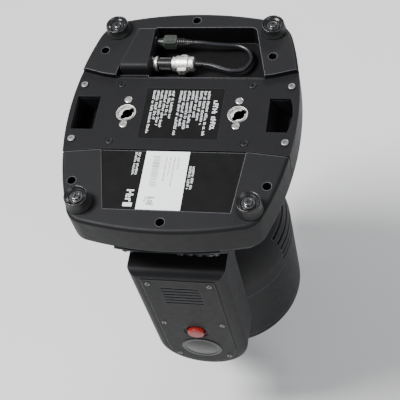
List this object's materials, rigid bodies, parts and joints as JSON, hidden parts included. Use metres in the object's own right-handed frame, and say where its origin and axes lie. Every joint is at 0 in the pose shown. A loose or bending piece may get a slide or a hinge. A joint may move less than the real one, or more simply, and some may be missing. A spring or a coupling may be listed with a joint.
{
  "type": "moving head light",
  "caption": "Compact LED moving head stage light: base with clamp plate, rubber feet and connector bay, panning yoke and tilting head with zoom optics.",
  "frame": {"origin": "centre of the clamp plate's outer face, midway between the two quarter-turn receptacles", "axes": "+Z out of the clamp plate, away from the head; +X across the base between its hand slots; +Y towards the connector bay and the rear sockets"},
  "size_m": [0.241, 0.2905, 0.3785],
  "materials": {
    "cover_plastic": "fine leather-grain charcoal moulding",
    "plate_steel": "satin black powder coat",
    "chassis_steel": "black powder coat",
    "foot_rubber": "glossy black rubber",
    "screw_steel": "zinc plated",
    "nickel": "bright nickel",
    "black_plastic": "black moulding",
    "label_black": "printed black foil",
    "label_white": "white sticker",
    "cable_jacket": "black cable jacket",
    "sheet_aluminium": "plain aluminium",
    "circuit_board": "green solder mask",
    "motor_black": "black lacquer",
    "belt_rubber": "toothed belt",
    "bearing_steel": "ground steel",
    "lock_plastic": "red moulded lock knob",
    "clear_optic": "clear acrylic optic",
    "lens_glass": "clear front lens",
    "ring_plastic": "black bezel",
    "fan_plastic": "black fan moulding",
    "button_plastic": "black key cap"
  },
  "bodies": {
    "base": {"base_chassis": "chassis_steel", "cam_receptacles": "nickel", "case_screws": "screw_steel", "clamp_plate": "plate_steel", "control_board": "circuit_board", "data_sockets": "nickel", "display_panel": "black_plastic", "foot_screws": "screw_steel", "front_base_cover": "cover_plastic", "hand_cups": "black_plastic", "info_label": "label_black", "link_lead": "cable_jacket", "link_plug_lower": "nickel", "link_plug_upper": "black_plastic", "link_sockets": "black_plastic", "pan_bearing": "bearing_steel", "pan_belt": "belt_rubber", "pan_motor": "motor_black", "pan_side_cover": "cover_plastic", "power_sockets": "black_plastic", "power_supply": "sheet_aluminium", "rating_label": "label_white", "rear_base_cover": "cover_plastic", "receptacle_rivets": "nickel", "rubber_feet": "foot_rubber", "socket_hood": "cover_plastic"},
    "head": {"head_front_shell": "cover_plastic", "head_rear_shell": "cover_plastic", "head_chassis": "sheet_aluminium", "tilt_shafts": "sheet_aluminium", "tilt_pulley": "sheet_aluminium", "heat_sink": "sheet_aluminium", "led_board": "circuit_board", "collimator_array": "clear_optic", "guide_rods": "bearing_steel", "zoom_motor": "motor_black", "front_lens": "lens_glass", "front_ring": "ring_plastic", "fan_frame": "fan_plastic"},
    "yoke": {"pan_shaft": "sheet_aluminium", "pan_pulley": "sheet_aluminium", "yoke_frame": "sheet_aluminium", "crown_cover": "cover_plastic", "drive_arm_cover": "cover_plastic", "free_arm_cover": "cover_plastic", "arm_inner_covers": "cover_plastic", "tilt_bearings": "bearing_steel", "tilt_motor": "motor_black", "tilt_belt": "belt_rubber"},
    "pan_motor_rotor": {"pan_motor_pulley": "sheet_aluminium"},
    "tilt_motor_rotor": {"tilt_motor_pulley": "sheet_aluminium"},
    "zoom_lens_carriage": {"zoom_carriage": "clear_optic"},
    "zoom_lead_screw": {"lead_screw": "bearing_steel"},
    "cooling_fan": {"fan_rotor": "fan_plastic"},
    "pan_lock_slider": {"pan_lock": "lock_plastic"},
    "tilt_lock_plunger": {"tilt_lock": "lock_plastic"},
    "button_1": {"menu_button_1": "button_plastic"},
    "button_2": {"menu_button_2": "button_plastic"},
    "button_3": {"menu_button_3": "button_plastic"},
    "button_4": {"menu_button_4": "button_plastic"}
  },
  "joints": [
    {"name": "pan", "type": "hinge", "parent": "base", "child": "yoke", "pos_m": [0, 0, -0.08], "axis": [0, 0, 1], "range_deg": [-270, 270]},
    {"name": "tilt", "type": "hinge", "parent": "yoke", "child": "head", "pos_m": [0, 0, -0.258], "axis": [0, 1, 0], "range_deg": [-112.5, 112.5]},
    {"name": "pan_motor", "type": "hinge", "parent": "base", "child": "pan_motor_rotor", "pos_m": [0.062, 0, -0.06], "axis": [0, 0, 1], "range_deg": [-1470, 1470]},
    {"name": "tilt_motor", "type": "hinge", "parent": "yoke", "child": "tilt_motor_rotor", "pos_m": [0, 0.11, -0.17], "axis": [0, 1, 0], "range_deg": [-550, 550]},
    {"name": "zoom", "type": "slide", "parent": "head", "child": "zoom_lens_carriage", "axis": [0, 0, -1], "range_m": [0, 0.034]},
    {"name": "zoom_screw", "type": "hinge", "parent": "head", "child": "zoom_lead_screw", "pos_m": [-0.059, -0.0413, -0.31], "axis": [0, 0, -1], "range_deg": [0, 1535]},
    {"name": "fan_spin", "type": "hinge", "parent": "head", "child": "cooling_fan", "pos_m": [0, 0, -0.19], "axis": [0, 0, 1], "continuous": true},
    {"name": "pan_lock_slide", "type": "slide", "parent": "yoke", "child": "pan_lock_slider", "axis": [0, 0, 1], "range_m": [0, 0.006]},
    {"name": "tilt_lock_push", "type": "slide", "parent": "yoke", "child": "tilt_lock_plunger", "axis": [0, 1, 0], "range_m": [0, 0.005]},
    {"name": "menu_button_1_press", "type": "slide", "parent": "base", "child": "button_1", "axis": [0, 0.8732, 0.4874], "range_m": [0, 0.0012], "stiffness_N_per_m": 400},
    {"name": "menu_button_2_press", "type": "slide", "parent": "base", "child": "button_2", "axis": [0, 0.8732, 0.4874], "range_m": [0, 0.0012], "stiffness_N_per_m": 400},
    {"name": "menu_button_3_press", "type": "slide", "parent": "base", "child": "button_3", "axis": [0, 0.8732, 0.4874], "range_m": [0, 0.0012], "stiffness_N_per_m": 400},
    {"name": "menu_button_4_press", "type": "slide", "parent": "base", "child": "button_4", "axis": [0, 0.8732, 0.4874], "range_m": [0, 0.0012], "stiffness_N_per_m": 400}
  ],
  "couplings": [
    {"joint": "pan_motor", "follows": "pan", "ratio": 5.4286},
    {"joint": "tilt_motor", "follows": "tilt", "ratio": 4.8571},
    {"joint": "zoom_screw", "follows": "zoom", "rad_per_m": 785.4}
  ]
}
